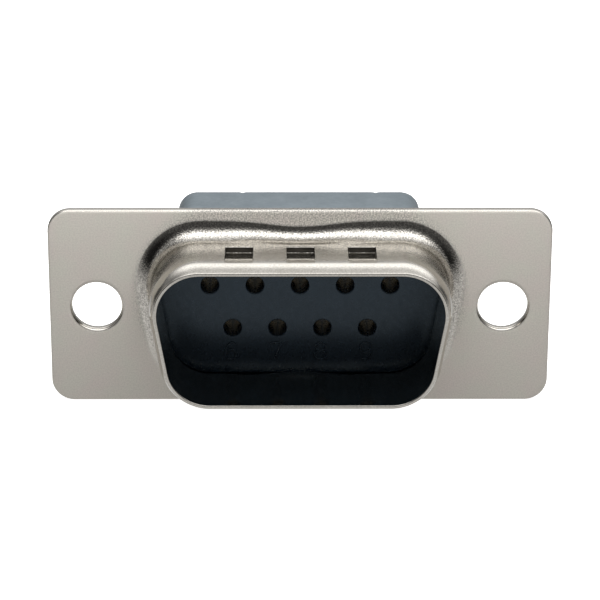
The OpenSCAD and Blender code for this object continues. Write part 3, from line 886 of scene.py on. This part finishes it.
# %% [markdown]
# The retention clips sit deep in their bores, where a finer surface would hardly be seen. So they stay as
# the CAD has them and only take the finish of rolled brass strip.
# %% Clips
for i in range(1, len(CONTACTS) + 1):
    clip = frame["nodes"][f"retention_clip_{i}"]
    clip.data.materials.clear()
    clip.data.materials.append(clip_strip)
print("clips finished:", len(CONTACTS))

# %% [markdown]
# The floor is pale and glows a little, so that it stays near white with only a faint shadow. The wall
# behind is the inside of a white ball that only the camera sees. A white world would be simpler, but the
# bright metal would mirror it all over and lose its shape.
# %% Floor and backdrop
FLOOR_Z, FLOOR_HALF, BACKDROP_R = -FLANGE_H / 2 - 0.02, 900.0, 1400.0
floor_mesh = bpy.data.meshes.new("floor")
floor_corners = np.array([(-1, -1, 0), (1, -1, 0), (1, 1, 0), (-1, 1, 0)]) * FLOOR_HALF + (0, 0, FLOOR_Z)
floor_mesh.from_pydata((floor_corners * MM).tolist(), [], [(0, 1, 2, 3)])
floor = bpy.data.objects.new("floor", floor_mesh)
bpy.context.scene.collection.objects.link(floor)
pale, nodes, links, shader = new_material("pale_floor")
shader.inputs["Base Color"].default_value = (0.9, 0.9, 0.9, 1)
shader.inputs["Roughness"].default_value = 1.0
shader.inputs["Specular IOR Level"].default_value = 0.0
shader.inputs["Emission Color"].default_value = (1, 1, 1, 1)
shader.inputs["Emission Strength"].default_value = 0.85
floor_mesh.materials.append(pale)
floor.visible_glossy = False
floor.visible_diffuse = False

backdrop_mesh = bpy.data.meshes.new("backdrop")
work = bmesh.new()
bmesh.ops.create_icosphere(work, subdivisions=3, radius=BACKDROP_R * MM)
work.to_mesh(backdrop_mesh)
work.free()
backdrop = bpy.data.objects.new("backdrop", backdrop_mesh)
bpy.context.scene.collection.objects.link(backdrop)
white, nodes, links, shader = new_material("white_backdrop")
nodes.remove(shader)
glow = nodes.new("ShaderNodeEmission")
glow.inputs["Color"].default_value = (1, 1, 1, 1)
links.new(glow.outputs["Emission"], nodes["Material Output"].inputs["Surface"])
backdrop_mesh.materials.append(white)
backdrop.visible_glossy = False
backdrop.visible_diffuse = False
backdrop.visible_transmission = False
backdrop.visible_shadow = False
print("floor at", round(FLOOR_Z, 2), "mm, backdrop", BACKDROP_R, "mm away")

# %% [markdown]
# A polished part shows what stands round it more than what shines on it, so the room is a world whose
# brightness follows the height: a pale table below, a dark room in front, a wide soft light overhead and
# a softer wall behind. The room's sides are dark above the horizon and pale below it. Real lamps and
# screens could stand there instead, but a band is quicker to move when a reflection falls wrongly.
#
# Each band is an angle round the X axis and a brightness. The angle is nought ahead, 90 overhead and
# below nought under the horizon. Colours can't go above one, so the bands are divided by the brightest
# level and the background's strength gives it back.
# %% Room
BRIGHTEST, ROOM_TINT = 5.0, (1.0, 0.995, 0.985)
ROOM = [
    (-180, 0.42), (-150, 0.7), (-120, 0.7), (-60, 0.52), (-46, 0.56), (-34, 0.64), (-22, 0.66), (-14, 0.45),
    (-4, 0.12), (30, 0.07), (42, 0.14), (52, 0.5), (60, 1.3), (67, 2.5), (84, 2.5), (94, 1.6), (104, 1.0),
    (112, 0.8), (120, 0.9), (129, 1.6), (138, 1.8), (147, 1.3), (152, 0.8), (157, 0.5), (180, 0.42),
]
world = bpy.data.worlds.new("room")
bpy.context.scene.world = world
world.use_nodes = True
nodes, links = world.node_tree.nodes, world.node_tree.links
split = nodes.new("ShaderNodeSeparateXYZ")
links.new(nodes.new("ShaderNodeTexCoord").outputs["Generated"], split.inputs["Vector"])
ahead = reckoned(nodes, links, "MULTIPLY", split.outputs["Y"], -1.0)
angle_up = reckoned(nodes, links, "ARCTAN2", split.outputs["Z"], ahead)
bands_node = nodes.new("ShaderNodeValToRGB")
links.new(ranged(nodes, links, angle_up, (-math.pi, math.pi)), bands_node.inputs["Fac"])
bands = bands_node.color_ramp.elements
for k, (angle, level) in enumerate(ROOM):
    band = bands[0] if k == 0 else bands[-1] if k == len(ROOM) - 1 else bands.new((angle + 180) / 360)
    band.color = (*(level / BRIGHTEST * part for part in ROOM_TINT), 1)
print("room bands:", len(bands))

# %% [markdown]
# The sides fade by how far to the left or right a ray goes. A smooth fade leaves no edge on the drawn
# corners, where a hard one would show as a line.
# %% Room's sides
SIDE_SHIFT, SIDE_OVER = 0.10, (0.35, 0.85)
LOW_SIDE_OVER, LOW_SIDE_LEVELS = (-0.05, -0.45), (0.7, 6.0)
background = nodes["Background"]
links.new(bands_node.outputs["Color"], background.inputs["Color"])
aside = reckoned(nodes, links, "ABSOLUTE", reckoned(nodes, links, "SUBTRACT", split.outputs["X"], SIDE_SHIFT))
low_side = ranged(nodes, links, split.outputs["Z"], LOW_SIDE_OVER, LOW_SIDE_LEVELS)
fading = ranged(nodes, links, aside, SIDE_OVER, (BRIGHTEST, low_side), smooth=True)
links.new(fading, background.inputs["Strength"])
print("sides fade over", SIDE_OVER, "to levels", LOW_SIDE_LEVELS)

# %% [markdown]
# A soft panel just above the part lights the matte flange from its top edge down. It isn't seen in
# reflections, because the drawn root would mirror it, and the wall would mirror the root and turn far too
# bright.
# %% Overhead panel
PANEL_HIGH, PANEL_NEAR, PANEL_FAR, PANEL_W, PANEL_LEVEL = 22.0, 10.0, 2.2, 48.0, 6.9
panel_data = bpy.data.lights.new("overhead_panel", "AREA")
panel_data.shape = "RECTANGLE"
panel_data.size, panel_data.size_y = PANEL_W * MM, (PANEL_NEAR - PANEL_FAR) * MM
panel_data.energy = PANEL_LEVEL * math.pi * panel_data.size * panel_data.size_y
panel = bpy.data.objects.new("overhead_panel", panel_data)
panel.location = (0, -(PANEL_NEAR + PANEL_FAR) / 2 * MM, PANEL_HIGH * MM)
panel.visible_camera = False
panel.visible_glossy = False
bpy.context.scene.collection.objects.link(panel)
print("panel:", PANEL_W, "x", PANEL_NEAR - PANEL_FAR, "mm at", PANEL_HIGH, "mm up")

# %% [markdown]
# The camera stands in front and a little above, with a long lens. A near camera with a wide lens could
# fill the frame too, but it would swell the D against the flange. It is aimed just above the middle of the
# flange and tilted by a hair.
# %% Camera
DISTANCE, ELEVATION, AZIMUTH, ROLL = 174.0, 22.3, 0.58, 0.19
AIM_UP, LENS = 0.40, 169.6
e, a = math.radians(ELEVATION), math.radians(AZIMUTH)
back = Vector((-math.sin(a) * math.cos(e), -math.cos(a) * math.cos(e), math.sin(e)))
up = Vector((0, math.sin(e), math.cos(e)))
camera_data = bpy.data.cameras.new("camera")
camera_data.lens = LENS
camera_data.sensor_width = 36
camera_data.clip_start, camera_data.clip_end = 0.01, 10
camera = bpy.data.objects.new("camera", camera_data)
bpy.context.scene.collection.objects.link(camera)
bpy.context.scene.camera = camera
camera.location = back * DISTANCE * MM
aim = up * AIM_UP * MM
look = (aim - camera.location).to_track_quat("-Z", "Y").to_matrix()
tilt = Matrix.Rotation(math.radians(ROLL), 3, "Z")
camera.matrix_world = Matrix.Translation(camera.location) @ (look @ tilt).to_4x4()
bpy.context.scene.view_settings.view_transform = "Standard"
print("camera stands", DISTANCE, "mm from the flange, lens", LENS, "mm")
